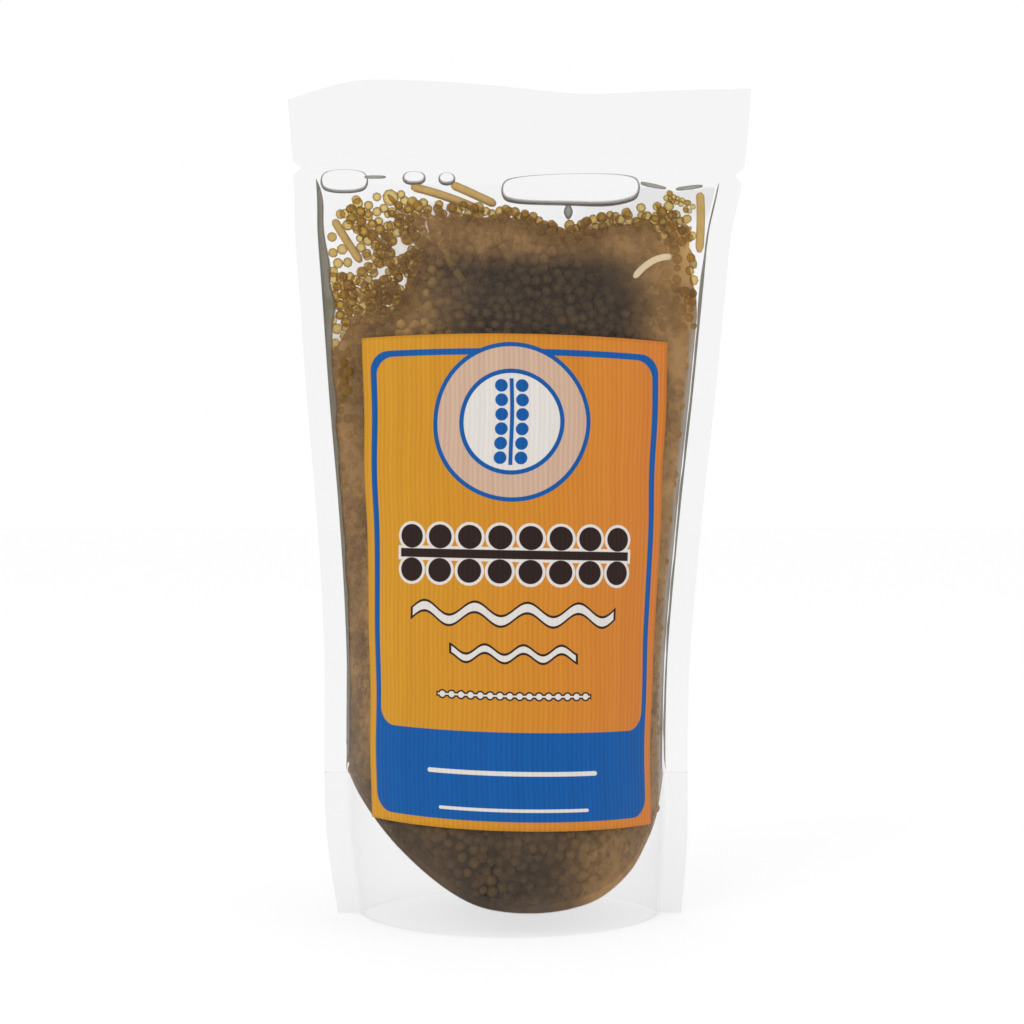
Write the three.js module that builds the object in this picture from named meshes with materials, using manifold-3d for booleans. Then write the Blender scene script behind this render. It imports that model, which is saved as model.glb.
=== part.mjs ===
// A clear stand-up pouch of sea grapes in brine: a front and a back film panel, a folded
// bottom gusset, a printed label on the front, the brine, and the packed seaweed.
// Millimetres, +Z up. The label faces -Y, and the origin is on the floor under the middle
// of the pouch.
import * as THREE from "three";
import { mergeVertices } from "three/addons/utils/BufferGeometryUtils.js";
import Module from "manifold-3d";

const wasm = await Module();
wasm.setup();

// Driving dimensions of the pouch
const HEIGHT = 214; // floor to top edge
const SEAL_LINE = 193; // lower edge of the heat-sealed top band
const SIDE_SEAL = 6; // width of the flat seal down each side
const GUSSET_RISE = 37; // height of the gusset's fold at the side seals
const FILM = 0.4; // thickness of each film, thicker than the real film
const PLY_GAP = 0.2; // between two films that are welded in the real pouch
const SKIRT_ROOM = 0.9; // half the space for the gusset's two plies in a side seal
const FOLD_EASE = [2, 24]; // the plies close up between these heights over the fold
const CLEARANCE = 0.75; // between the film and what is in the pouch
const BRINE_EDGE = 0.985; // share of the half width that the brine reaches
const BRINE_LEAST = 0.2; // half its thickness there

// Height to half the width over the side seals
const HALF_WIDTH = [
  [0, 44.8], [20, 47], [44, 47.4], [66, 47.6], [84, 48.6], [108, 50.5], [134, 53], [163, 55.4],
  [176, 56.5], [193, 58.4], [214, 60],
];
// Height to the sideways lean of the middle
const LEAN = [
  [0, -2.4], [20, -3.1], [44, -3.4], [66, -3.1], [94, -2.6], [134, -2.1], [163, -1.7],
  [177, -1.5], [187, -0.5], [197, 0],
];
// Share of the half width to the height of the U-shaped bottom seal
const SEAL_CURVE = [
  [-1, 37], [-0.93, 32.2], [-0.77, 24.3], [-0.59, 17.3], [-0.4, 11.4], [-0.22, 7.6], [-0.04, 6],
  [0.2, 5.5], [0.42, 6.3], [0.6, 8.4], [0.78, 13.7], [0.87, 19.3], [0.95, 26.5], [1, 37],
];
// Height to the bulge of each panel
const BULGE = [[0, 30], [38, 28], [82, 21.6], [134, 15.2], [163, 9.8], [182, 5], [SEAL_LINE, 0]];
// Across the pouch to the rise and fall of the cut top edge
const TOP_EDGE = [[-60, -2.3], [-44, 1.9], [-30, 2.3], [-6, 1.2], [17, -0.7], [37, -0.2], [60, 0]];
const TOP_SWAY = 1.8; // how far the top edge waves to the front and back
const TOP_SWAY_LENGTH = 92; // of one wave

// Tear notches: side, height and size
const NOTCHES = [{ side: -1, height: 194 }, { side: 1, height: 191.8 }];
const NOTCH_DEPTH = 2.2;
const NOTCH_HEIGHT = 2;

// The label
const LABEL_WIDTH = 80.2;
const LABEL_BOTTOM = 26.3;
const LABEL_TOP = 148.9;
const LABEL_SHIFT = [0.9, 2.1]; // its middle from the pouch's, at the top and the bottom
const LABEL_TILT = [1, 2.4]; // how much lower its right side is, at the top and the bottom
const LABEL_ARCH = 1.2; // rise of the middle of its top edge
const LABEL_THICKNESS = 0.35;
const LABEL_GAP = 0.3; // from the film that it is stuck to

// The packed fronds in the middle of the pouch
const PACK_LEFT = [[90, -0.9], [118, -0.88], [150, -0.72], [176, -0.42]]; // height to share
const PACK_RIGHT = [[90, 0.9], [140, 0.88], [174, 0.68]]; // of the half width
const PACK_TOP = [[0, 171], [0.25, 179], [0.5, 180], [0.75, 181], [1, 172]]; // across to height
const BEAD_PITCH = [22, 46]; // lattice steps across and up; one bead to every three points
const BEAD_RELIEF = 2.1; // how far a packed bead stands out
const PACK_CORNER = 0.55; // thickness left at the rim of the packed fronds
const PACK_RIM = 3; // lattice steps over which the rim rounds off
const PACK_LEAST = 0.5; // the least half thickness
const PACK_FOOT = 0.9; // above the gusset
const PACK_HEEL = 1.06; // the foot's ends stand higher, as if they were this much further out

// Loose fronds and runners
const STEM_RADIUS = 1.1;
const BEAD_RADIUS = 1.4;
const BEAD_REACH = 2.1; // bead's middle from the stem's
const WHORL_PITCH = 3.3; // between the rings of beads along a stem
const BEADS_IN_A_WHORL = 3;
const STEM_SIDES = 6;
const HOLE_EASE = 0.45; // gap round a frond in the brine

// Air bubbles under the top seal: across, height, half length and half height
const BUBBLES = [
  [-44, 191.5, 6.5, 3.2],
  [-26.7, 191.8, 3, 2],
  [-17.5, 192, 2.4, 1.8],
  [13, 190.5, 18, 4],
  [38, 191.5, 7, 1.6],
];

const FRONT = -1;
const BACK = 1;

// A smooth curve through pairs of position and value, level beyond its ends.
function through(points) {
  const last = points.length - 1;
  const slope = (i) => {
    const [t0, v0] = points[Math.max(i - 1, 0)];
    const [t1, v1] = points[Math.min(i + 1, last)];
    return (v1 - v0) / (t1 - t0);
  };
  return (t) => {
    if (t <= points[0][0]) return points[0][1];
    if (t >= points[last][0]) return points[last][1];
    const k = points.findIndex(([at]) => at > t) - 1;
    const [t0, v0] = points[k];
    const [t1, v1] = points[k + 1];
    const span = t1 - t0;
    const s = (t - t0) / span;
    const start = v0 * (1 + 2 * s) + slope(k) * span * s;
    const end = v1 * (3 - 2 * s) + slope(k + 1) * span * (s - 1);
    return start * (1 - s) ** 2 + end * s * s;
  };
}

const halfWidth = through(HALF_WIDTH);
const lean = through(LEAN);
const bulge = through(BULGE);
const topEdge = through(TOP_EDGE);
const packLeft = through(PACK_LEFT);
const packRight = through(PACK_RIGHT);
const packTop = through(PACK_TOP);

const mix = THREE.MathUtils.lerp;
const ease = THREE.MathUtils.smoothstep;

// Half the width between the side seals.
const innerHalf = (z) => halfWidth(z) - SIDE_SEAL;

// How far a panel stands out from the middle plane, x from the middle line: a round arc
// between the side seals, eased into their flat strips.
function belly(x, z) {
  const depth = bulge(z);
  if (depth <= 0) return 0;
  const half = innerHalf(z);
  const radius = (half * half + depth * depth) / (2 * depth);
  const away = Math.abs(x);
  const arc =
    away < half
      ? Math.sqrt(radius * radius - away * away) - (radius - depth)
      : (-(away - half) * half) / (radius - depth);
  const rounding = Math.min(1, depth / 4);
  return (arc + Math.hypot(arc, rounding)) / 2;
}

// The space that the gusset's plies need on each side of the middle plane.
function plyRoom(z) {
  const closed = ease(z, GUSSET_RISE + FOLD_EASE[0], GUSSET_RISE + FOLD_EASE[1]);
  return mix(SKIRT_ROOM, PLY_GAP / 2, closed);
}

// The wave of the flat top band, to the front and back.
function sway(x, z) {
  const share = ease(z, SEAL_LINE - 10, HEIGHT);
  return TOP_SWAY * share * Math.sin((2 * Math.PI * x) / TOP_SWAY_LENGTH + 0.6);
}

// The inner face of a panel: its y at x and z in the pouch's frame.
function faceY(side, x, z) {
  return sway(x, z) + side * (belly(x - lean(z), z) + plyRoom(z));
}

// A point on a panel, moved out of the pouch by a distance, level with its height.
function facePoint(side, x, z, out) {
  const step = 0.05;
  const tilt = (faceY(side, x + step, z) - faceY(side, x - step, z)) / (2 * step);
  const length = Math.hypot(tilt, 1);
  return [x - (side * tilt * out) / length, faceY(side, x, z) + (side * out) / length, z];
}

// Height of the U-shaped seal at a share of the half width.
const sealHeight = through(SEAL_CURVE);

// Columns of the film grids: shares of the half width between the seals, closer together at
// the sides, and beyond 1 into the side seals.
const COLUMNS = [-2, -1.5];
for (let k = -8; k <= 8; k++) COLUMNS.push(Math.sin((Math.PI * k) / 16));
COLUMNS.push(1.5, 2);

// Across the pouch at a height, for a column.
function columnX(column, z) {
  const beyond = Math.max(Math.abs(column) - 1, 0);
  const within = Math.min(Math.abs(column), 1);
  return lean(z) + Math.sign(column) * (within * innerHalf(z) + beyond * SIDE_SEAL);
}

// A closed mesh between two grids of points with the same rows and columns, both split into
// triangles alike, on the other diagonal in the rows that turned names.
function slab(outer, inner, turned = () => false) {
  const rows = outer.length;
  const columns = outer[0].length;
  const count = rows * columns;
  const at = (row, column) => row * columns + column;
  const faces = [];
  const quad = (a, b, c, d) => faces.push([a, b, c], [a, c, d]);
  for (let r = 0; r < rows - 1; r++) {
    for (let c = 0; c < columns - 1; c++) {
      const corners = [at(r, c), at(r, c + 1), at(r + 1, c + 1), at(r + 1, c)];
      if (turned(r)) corners.push(corners.shift());
      const [p, q, s, t] = corners;
      quad(p, q, s, t);
      faces.push([p + count, s + count, q + count], [p + count, t + count, s + count]);
    }
  }
  const rim = [];
  for (let c = 0; c < columns - 1; c++) rim.push(at(0, c));
  for (let r = 0; r < rows - 1; r++) rim.push(at(r, columns - 1));
  for (let c = columns - 1; c > 0; c--) rim.push(at(rows - 1, c));
  for (let r = rows - 1; r > 0; r--) rim.push(at(r, 0));
  rim.forEach((a, i) => {
    const b = rim[(i + 1) % rim.length];
    quad(b, a, a + count, b + count);
  });
  const geometry = new THREE.BufferGeometry();
  const points = [...outer.flat(), ...inner.flat()].flat();
  geometry.setAttribute("position", new THREE.Float32BufferAttribute(points, 3));
  geometry.setIndex(faces.flat());
  return facingOut(geometry);
}

// The same closed mesh with its faces pointing out.
function facingOut(geometry) {
  const p = geometry.getAttribute("position");
  const index = geometry.getIndex().array;
  const [a, b, c] = [new THREE.Vector3(), new THREE.Vector3(), new THREE.Vector3()];
  let volume = 0;
  for (let i = 0; i < index.length; i += 3) {
    a.fromBufferAttribute(p, index[i]);
    b.fromBufferAttribute(p, index[i + 1]);
    c.fromBufferAttribute(p, index[i + 2]);
    volume += a.dot(b.cross(c));
  }
  if (volume < 0) {
    for (let i = 0; i < index.length; i += 3) {
      [index[i + 1], index[i + 2]] = [index[i + 2], index[i + 1]];
    }
  }
  return geometry;
}

// A manifold solid from a closed geometry.
function solid(geometry) {
  const bare = geometry.clone();
  bare.deleteAttribute("normal");
  bare.deleteAttribute("uv");
  const merged = mergeVertices(bare, 1e-4);
  return new wasm.Manifold(
    new wasm.Mesh({
      numProp: 3,
      vertProperties: merged.getAttribute("position").array,
      triVerts: new Uint32Array(merged.getIndex().array),
    }),
  );
}

// A geometry from the largest body of a manifold solid.
function geometryOf(shape) {
  const bodies = shape.decompose().sort((a, b) => b.volume() - a.volume());
  const mesh = bodies[0].getMesh();
  const geometry = new THREE.BufferGeometry();
  geometry.setAttribute("position", new THREE.Float32BufferAttribute(mesh.vertProperties, 3));
  geometry.setIndex([...mesh.triVerts]);
  return geometry;
}

// A flat outline in x and z, made solid right through the pouch.
function throughPouch(outline) {
  const reach = 80;
  const shape = new THREE.Shape(outline.map(([x, z]) => new THREE.Vector2(x, z)));
  const geometry = new THREE.ExtrudeGeometry(shape, { depth: reach, bevelEnabled: false });
  geometry.rotateX(Math.PI / 2).translate(0, reach / 2, 0);
  return solid(geometry);
}

// One V-shaped tear notch, to be cut from an edge.
function notch({ side, height }) {
  const edge = side * halfWidth(height);
  return throughPouch([
    [edge - side * NOTCH_DEPTH, height],
    [edge + side, height - NOTCH_HEIGHT],
    [edge + side, height + NOTCH_HEIGHT],
  ]);
}

// A film panel, from the floor to the top edge, with its two tear notches.
function panel(side) {
  const heights = [0, 12, 26, 38, 46, 54, 62, 80, 98, 116, 134, 150, 164, 176, 185, SEAL_LINE];
  const grid = (out) => {
    const rows = heights.map((z) =>
      COLUMNS.map((column) => facePoint(side, columnX(column, z), z, out)),
    );
    for (const share of [0.5, 1]) {
      rows.push(
        COLUMNS.map((column) => {
          const x = columnX(column, mix(SEAL_LINE, HEIGHT, share));
          const z = mix(SEAL_LINE, HEIGHT + topEdge(x), share);
          return facePoint(side, x, z, out);
        }),
      );
    }
    return rows;
  };
  const film = solid(slab(grid(FILM), grid(0)));
  return geometryOf(NOTCHES.reduce((cut, each) => cut.subtract(notch(each)), film));
}

// The bottom gusset: a wing down the inside of each panel, and the saddle between them that
// carries the contents.
function gusset() {
  const wing = [0, 1 / 3, 2 / 3, 1];
  const across = [0.25, 0.5, 0.75];
  const inset = PLY_GAP + FILM / 2;
  const middle = COLUMNS.map((column) => {
    const top = sealHeight(column) - FILM / 2;
    const wingPoint = (side, share) => {
      const z = top * share;
      return facePoint(side, columnX(column, z), z, -inset);
    };
    const front = wing.map((share) => wingPoint(FRONT, share));
    const back = wing.map((share) => wingPoint(BACK, share)).reverse();
    const [from, to] = [front.at(-1), back[0]];
    const saddle = across.map((share) => from.map((value, k) => mix(value, to[k], share)));
    return [...front, ...saddle, ...back];
  });
  return slab(thickened(middle, FILM / 2), thickened(middle, -FILM / 2));
}

// A grid of points moved along its own normals, with the points on the floor kept there.
function thickened(grid, distance) {
  const at = (r, c) => {
    const row = grid[THREE.MathUtils.clamp(r, 0, grid.length - 1)];
    return new THREE.Vector3(...row[THREE.MathUtils.clamp(c, 0, row.length - 1)]);
  };
  return grid.map((row, r) =>
    row.map((point, c) => {
      const alongRow = at(r, c + 1).sub(at(r, c - 1)).normalize();
      const alongColumn = at(r + 1, c).sub(at(r - 1, c)).normalize();
      const normal = alongRow.cross(alongColumn).normalize();
      if (point[2] === 0) normal.setZ(0).normalize();
      return new THREE.Vector3(...point).addScaledVector(normal, distance).toArray();
    }),
  );
}

// Across the pouch at a height, for a length measured round the panel from its middle line.
function alongArc(length, z) {
  const depth = bulge(z);
  const half = innerHalf(z);
  const radius = (half * half + depth * depth) / (2 * depth);
  return lean(z) + radius * Math.sin(length / radius);
}

// The label, wrapped round the front panel.
function label() {
  const rows = 14;
  const columns = 12;
  const lift = FILM + LABEL_GAP;
  const grid = (out) =>
    Array.from({ length: rows + 1 }, (_, r) =>
      Array.from({ length: columns + 1 }, (_, c) => {
        const up = r / rows;
        const across = c / columns - 0.5;
        const arch = LABEL_ARCH * up * up * (1 - 4 * across * across);
        const tilt = mix(LABEL_TILT[1], LABEL_TILT[0], up) * across;
        const z = mix(LABEL_BOTTOM, LABEL_TOP, up) + arch - tilt;
        const length = mix(LABEL_SHIFT[1], LABEL_SHIFT[0], up) + across * LABEL_WIDTH;
        return facePoint(FRONT, alongArc(length, z), z, lift + out);
      }),
    );
  return slab(grid(LABEL_THICKNESS), grid(0));
}

// Half the thickness of the contents at a place, inside the film's clearance.
function halfDepth(x, z, clearance) {
  return Math.max(belly(x - lean(z), z) + plyRoom(z) - clearance, BRINE_LEAST);
}

// Everything inside the film, as one solid that the contents are fitted into.
function insideOfPouch(clearance) {
  const rows = 18;
  const within = COLUMNS.filter((column) => Math.abs(column) <= 1);
  const shares = within.map((column) => THREE.MathUtils.clamp(column, -BRINE_EDGE, BRINE_EDGE));
  const grid = (side) =>
    Array.from({ length: rows + 1 }, (_, r) =>
      shares.map((share) => {
        const low = sealHeight(PACK_HEEL * share) + 2 * clearance;
        const high = SEAL_LINE - 2.6 - 6 * share ** 4;
        const z = mix(low, high, r / rows);
        const x = columnX(share, z);
        return [x, sway(x, z) + side * halfDepth(x, z, clearance), z];
      }),
    );
  return solid(slab(grid(FRONT), grid(BACK)));
}

// Where a point of the packed fronds lies, in x and z, for shares across and up.
function packedPlace(across, up) {
  const foot = PACK_HEEL * mix(PACK_LEFT[0][1], PACK_RIGHT[0][1], across);
  const z = mix(sealHeight(foot) + PACK_FOOT, packTop(across), up);
  return [columnX(mix(packLeft(z), packRight(z), across), z), z];
}

// The packed fronds: a core covered with beads, raised from it on a triangular lattice where
// one point in three is the top of a bead and its six neighbours are the hollows round it.
function packedFronds() {
  const [across, up] = BEAD_PITCH;
  const grid = (side) =>
    Array.from({ length: up + 1 }, (_, r) =>
      Array.from({ length: across + 1 }, (_, c) => {
        const shifted = r % 2 && c > 0 && c < across ? 0.5 : 0;
        const [x, z] = packedPlace((c + shifted) / across, r / up);
        const axial = c - (r - (r % 2)) / 2;
        const bead = (((axial - r) % 3) + 3) % 3 === 0;
        const steps = Math.min(c, across - c, up - r);
        const rim = Math.sin((Math.PI / 2) * Math.min(steps / PACK_RIM, 1));
        const full = halfDepth(x, z, 2 * CLEARANCE) * mix(PACK_CORNER, 1, rim);
        const hollow = bead ? 0 : BEAD_RELIEF * Math.min(steps, 1);
        return [x, sway(x, z) + side * Math.max(full - hollow, PACK_LEAST), z];
      }),
    );
  return slab(grid(FRONT), grid(BACK), (row) => row % 2 === 0);
}

// The outline of the packed fronds, grown by a gap, right through the pouch.
function packedOutline(gap) {
  const steps = 16;
  const shares = Array.from({ length: steps + 1 }, (_, k) => k / steps);
  const edge = [
    ...shares.map((share) => packedPlace(1, share)),
    ...shares.map((share) => packedPlace(1 - share, 1)).slice(1),
    ...shares.map((share) => packedPlace(0, 1 - share)).slice(1),
  ];
  const grown = edge.map(([x, z], k) => {
    const [x0, z0] = edge[Math.max(k - 1, 0)];
    const [x1, z1] = edge[Math.min(k + 1, edge.length - 1)];
    const length = Math.hypot(x1 - x0, z1 - z0);
    return [x + ((z1 - z0) * gap) / length, z - ((x1 - x0) * gap) / length];
  });
  grown.push([grown.at(-1)[0], 0], [grown[0][0], 0]);
  return throughPouch(grown);
}

// Loose fronds and runners: a route through x, z and the share of the half depth to the front
// (below 0) or back, and the part of the stem, from its start, that carries no beads.
const STRANDS = [
  { name: "frond_top_left", bare: 0.05, route: [[-44, 184, 0], [-39, 178, -0.1], [-33, 172, 0]] },
  { name: "frond_upper_left", bare: 0.3, route: [[-34, 187, 0], [-29.5, 182, 0], [-25, 177.5, 0]] },
  { name: "frond_left_edge", bare: 0.1, route: [[-46, 167, 0], [-45.2, 160, -0.2], [-43, 153.5, 0]] },
  { name: "frond_left_inner", bare: 0.1, route: [[-37.5, 165, -0.1], [-36, 159, 0], [-38, 153, 0]] },
  { name: "frond_left_low", bare: 0.1, route: [[-44.2, 147, 0], [-43.6, 140, -0.3], [-44, 133.5, 0]] },
  { name: "frond_top_right", bare: 0.2, route: [[35.5, 184.5, 0], [39.6, 179.5, 0], [42.8, 173.5, 0]] },
  { name: "frond_right_edge", bare: 0.1, route: [[43, 163, 0], [42.4, 157, 0], [43, 151, 0]] },
  { name: "runner_left", bare: 1, route: [[-48, 180.5, 0], [-45, 175.5, 0], [-41, 169.5, -0.1]] },
  { name: "runner_top", bare: 1, route: [[-23.5, 187, 0], [-17, 185, 0], [-9, 182, 0]] },
  { name: "runner_short", bare: 1, route: [[-17.5, 189.2, 0], [-12, 187, 0], [-5.5, 184, 0]] },
  { name: "runner_right", bare: 1, route: [[46.9, 185.5, 0], [47.2, 180.5, 0], [47.2, 175, 0]] },
];

// The curve of a strand in the pouch's frame.
function routeOf(strand) {
  const points = strand.route.map(([x, z, share]) => {
    const y = sway(x, z) + share * halfDepth(x, z, CLEARANCE);
    return new THREE.Vector3(x, y, z);
  });
  return new THREE.CatmullRomCurve3(points);
}

// A round stem along a curve, in steps of about the given length.
function stem(curve, radius, step = 2.5 * STEM_RADIUS) {
  const section = new THREE.Shape();
  for (let k = 0; k < STEM_SIDES; k++) {
    const angle = (2 * Math.PI * k) / STEM_SIDES;
    const [x, y] = [radius * Math.cos(angle), radius * Math.sin(angle)];
    if (k === 0) section.moveTo(x, y);
    else section.lineTo(x, y);
  }
  const steps = Math.ceil(curve.getLength() / step);
  return solid(new THREE.ExtrudeGeometry(section, { steps, extrudePath: curve }));
}

// The beads of a strand, in rings that turn half a step from one to the next. A ring lies
// flatter where the pouch is thin.
function beads(curve, bare) {
  if (bare === 1) return [];
  const length = curve.getLength();
  const rings = Math.floor((length * (1 - bare)) / WHORL_PITCH);
  const made = [];
  for (let ring = 0; ring <= rings; ring++) {
    const share = Math.min(bare + (ring * WHORL_PITCH) / length, 1);
    const middle = curve.getPointAt(share);
    const along = curve.getTangentAt(share);
    const side = new THREE.Vector3(0, 1, 0).cross(along).normalize();
    const depth = new THREE.Vector3().crossVectors(along, side);
    const room = halfDepth(middle.x, middle.z, CLEARANCE) - BEAD_RADIUS;
    const flat = THREE.MathUtils.clamp(room / BEAD_REACH, 0.1, 1);
    for (let k = 0; k < BEADS_IN_A_WHORL; k++) {
      const angle = (2 * Math.PI * (k + (ring % 2) / 2)) / BEADS_IN_A_WHORL + 0.3;
      const bead = new THREE.IcosahedronGeometry(BEAD_RADIUS, 0);
      const place = middle
        .clone()
        .addScaledVector(side, BEAD_REACH * Math.cos(angle))
        .addScaledVector(depth, BEAD_REACH * flat * Math.sin(angle));
      bead.translate(place.x, place.y, place.z);
      made.push(solid(indexed(bead)));
    }
  }
  return made;
}

// A geometry whose shared corners are joined.
function indexed(geometry) {
  const bare = geometry.clone();
  bare.deleteAttribute("normal");
  bare.deleteAttribute("uv");
  return mergeVertices(bare, 1e-4);
}

// A loose frond or runner, pressed flat where it meets the film or the packed fronds.
function strandSolid(strand, room) {
  const curve = routeOf(strand);
  const grown = beads(curve, strand.bare).reduce((all, bead) => all.add(bead), stem(curve, STEM_RADIUS));
  return grown.intersect(room);
}

// The hole that a strand leaves in the brine, a little longer than the strand.
function strandHole(strand) {
  const reach = HOLE_EASE + (strand.bare < 1 ? BEAD_REACH + BEAD_RADIUS : STEM_RADIUS);
  const curve = routeOf(strand);
  const past = (end) => {
    const spare = (end * 2 - 1) * (strand.bare < 1 ? BEAD_RADIUS + 2 * HOLE_EASE : HOLE_EASE);
    return curve.getPoint(end).addScaledVector(curve.getTangent(end), spare);
  };
  const longer = new THREE.CatmullRomCurve3([past(0), ...curve.points.slice(1, -1), past(1)]);
  return stem(longer, reach / Math.cos(Math.PI / STEM_SIDES), 6);
}

// An air bubble's space, right through the pouch.
function bubble([x, z, halfLength, halfHeight]) {
  const outline = Array.from({ length: 12 }, (_, k) => {
    const angle = (2 * Math.PI * k) / 12;
    return [x + halfLength * Math.cos(angle), z + halfHeight * Math.sin(angle)];
  });
  return throughPouch(outline);
}

// The clear brine round and over the packed fronds, with the bubbles under the top seal.
function brine(inside) {
  const cuts = [packedOutline(CLEARANCE), ...STRANDS.map(strandHole), ...BUBBLES.map(bubble)];
  return geometryOf(cuts.reduce((left, cut) => left.subtract(cut), inside));
}

const film = new THREE.MeshStandardMaterial({
  color: 0xeff0f0,
  roughness: 0.12,
  metalness: 0,
  transparent: true,
  opacity: 0.22,
});
const paper = new THREE.MeshStandardMaterial({ color: 0xd99536, roughness: 0.45, metalness: 0 });
const liquid = new THREE.MeshStandardMaterial({
  color: 0xe9e2d2,
  roughness: 0.05,
  metalness: 0,
  transparent: true,
  opacity: 0.3,
});
const packed = new THREE.MeshStandardMaterial({ color: 0x6b4f2e, roughness: 0.35, metalness: 0 });
const frondMaterial = new THREE.MeshStandardMaterial({
  color: 0xb08238,
  roughness: 0.3,
  metalness: 0,
});
const runnerMaterial = new THREE.MeshStandardMaterial({
  color: 0xb8924c,
  roughness: 0.35,
  metalness: 0,
});

const pouch = new THREE.Group();

function add(name, geometry, material) {
  const mesh = new THREE.Mesh(geometry, material);
  mesh.name = name;
  pouch.add(mesh);
}

add("front_film", panel(FRONT), film);
add("back_film", panel(BACK), film);
add("gusset_film", gusset(), film);
add("label", label(), paper);
add("packed_fronds", packedFronds(), packed);
const inside = insideOfPouch(CLEARANCE);
const strandRoom = inside.subtract(packedOutline(CLEARANCE));
for (const strand of STRANDS) {
  const material = strand.bare < 1 ? frondMaterial : runnerMaterial;
  add(strand.name, geometryOf(strandSolid(strand, strandRoom)), material);
}
add("brine", brine(inside), liquid);

export default pouch;
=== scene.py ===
"""The stand-up pouch of sea grapes in brine, dressed for its picture."""

import math
import random

import bmesh
import bpy
import numpy as np
from mathutils import Matrix, Vector


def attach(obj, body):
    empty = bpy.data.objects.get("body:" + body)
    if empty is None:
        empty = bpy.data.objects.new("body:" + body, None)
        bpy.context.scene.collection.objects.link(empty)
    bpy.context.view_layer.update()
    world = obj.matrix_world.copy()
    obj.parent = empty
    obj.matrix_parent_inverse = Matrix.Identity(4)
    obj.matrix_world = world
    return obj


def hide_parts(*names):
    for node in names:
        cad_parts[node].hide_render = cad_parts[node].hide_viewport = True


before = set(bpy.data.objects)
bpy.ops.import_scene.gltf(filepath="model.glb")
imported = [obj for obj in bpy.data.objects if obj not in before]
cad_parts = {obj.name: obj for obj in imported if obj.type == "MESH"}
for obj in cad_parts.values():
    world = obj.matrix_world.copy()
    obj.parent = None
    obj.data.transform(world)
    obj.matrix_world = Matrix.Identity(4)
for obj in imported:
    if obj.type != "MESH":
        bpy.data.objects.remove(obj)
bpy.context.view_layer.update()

MM = 0.001
FRONT = -1
BACK = 1

# The pouch, in millimetres, as in the CAD part
HEIGHT = 214
SEAL_LINE = 193
SIDE_SEAL = 6
GUSSET_RISE = 37
FILM = 0.4
PLY_GAP = 0.2
SKIRT_ROOM = 0.9
FOLD_EASE = (2, 24)
HALF_WIDTH = (
    (0, 44.8), (20, 47), (44, 47.4), (66, 47.6), (84, 48.6), (108, 50.5), (134, 53), (163, 55.4), (176, 56.5),
    (193, 58.4), (214, 60),
)
LEAN = (
    (0, -2.4), (20, -3.1), (44, -3.4), (66, -3.1), (94, -2.6), (134, -2.1), (163, -1.7), (177, -1.5),
    (187, -0.5), (197, 0),
)
BULGE = ((0, 30), (38, 28), (82, 21.6), (134, 15.2), (163, 9.8), (182, 5), (SEAL_LINE, 0))
SEAL_CURVE = (
    (-1, 37), (-0.93, 32.2), (-0.77, 24.3), (-0.59, 17.3), (-0.4, 11.4), (-0.22, 7.6), (-0.04, 6), (0.2, 5.5),
    (0.42, 6.3), (0.6, 8.4), (0.78, 13.7), (0.87, 19.3), (0.95, 26.5), (1, 37),
)
TOP_EDGE = ((-60, -2.3), (-44, 1.9), (-30, 2.3), (-6, 1.2), (17, -0.7), (37, -0.2), (60, 0))
TOP_SWAY = 1.8
TOP_SWAY_LENGTH = 92
TOP_SWAY_START = 0.6  # radians into the wave at the middle of the pouch
NOTCHES = ((-1, 194), (1, 191.8))
NOTCH_DEPTH = 2.2
NOTCH_HEIGHT = 2

# The label
LABEL_WIDTH = 80.2
LABEL_BOTTOM = 26.3
LABEL_TOP = 148.9
LABEL_SHIFT = (0.9, 2.1)
LABEL_TILT = (1, 2.4)
LABEL_ARCH = 1.2
LABEL_GAP = 0.3
LABEL_THICKNESS = 0.3
LABEL_TALL = LABEL_TOP - LABEL_BOTTOM
LABEL_RIPPLE = 0.3

# The label's print, in millimetres from its middle line and its lower edge
FRAME_OUTSIDE = (-0.1, 60.55, 37.7, 58.35, 5)  # middle across and up, half width, half height, corner
FRAME_INSIDE = (-0.1, 70.65, 36, 46.65, 4.6)
DISC_MIDDLE = (-1, 100.6)
DISC_RADII = (19.9, 13.2)
DISC_LINE = 1.1
DISC_SPRIG = (3.6, 2.6, 1.6, 0.5, 10.8)  # step, beads' reach and radius, half the stem and the length
TITLE_UP = 67.6
TITLE_SPRIG = (7.6, 4.2, 3, 1.1, 29.7)
DOTS_UP = 32.8
DOTS_SPRIG = (2.4, 0, 0.75, 0.2, 19.2)
WAVES = ((52.8, 1.7, 13, 1, 26), (43.1, 1.2, 9.5, 0.75, 15.5))  # up, rise, length, half thickness and width
RULES = ((14, 0.55, 21.5), (5, 0.4, 18.8))  # up, half thickness, half width
RIB_STEP = 1.25
INK_EDGE = 0.14

# The film, the seaweed and the brine
FILM_THICKNESS = 0.12
FILM_RIPPLE = 0.06
SEAM_SHARE = 0.84  # of half the width of a grid, up to the side seal
GUSSET_WING = 0.34  # of the gusset's way up, for each of its standing plies
BEAD_RADII = (1.15, 1.5)
CLEAR_DEPTH = 7.5  # half depth of the pouch under which light comes through the beads
CORE_COVER = 4.4  # from the film to the dark core
MURK_COVER = 0.4  # from the film to the cloudy brine before the beads
FILL_TOP = (
    (-50, 180), (-45, 186), (-38, 187.5), (-30, 189), (-24, 188.5), (-11, 185.3), (-2, 184.5), (8, 180.8),
    (14, 180.5), (24, 183.3), (36, 184.3), (39, 182.5), (43, 186), (48, 187),
)
STEM_RADIUS = 1.15
FROND_STEM_RADIUS = 0.65
BEAD_REACH = 2.2  # from a stem's middle to its beads'
RING_STEP = 2.3  # between the rings of beads along a stem
BEAD_COVER = 0.75  # from the film to the beads
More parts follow.
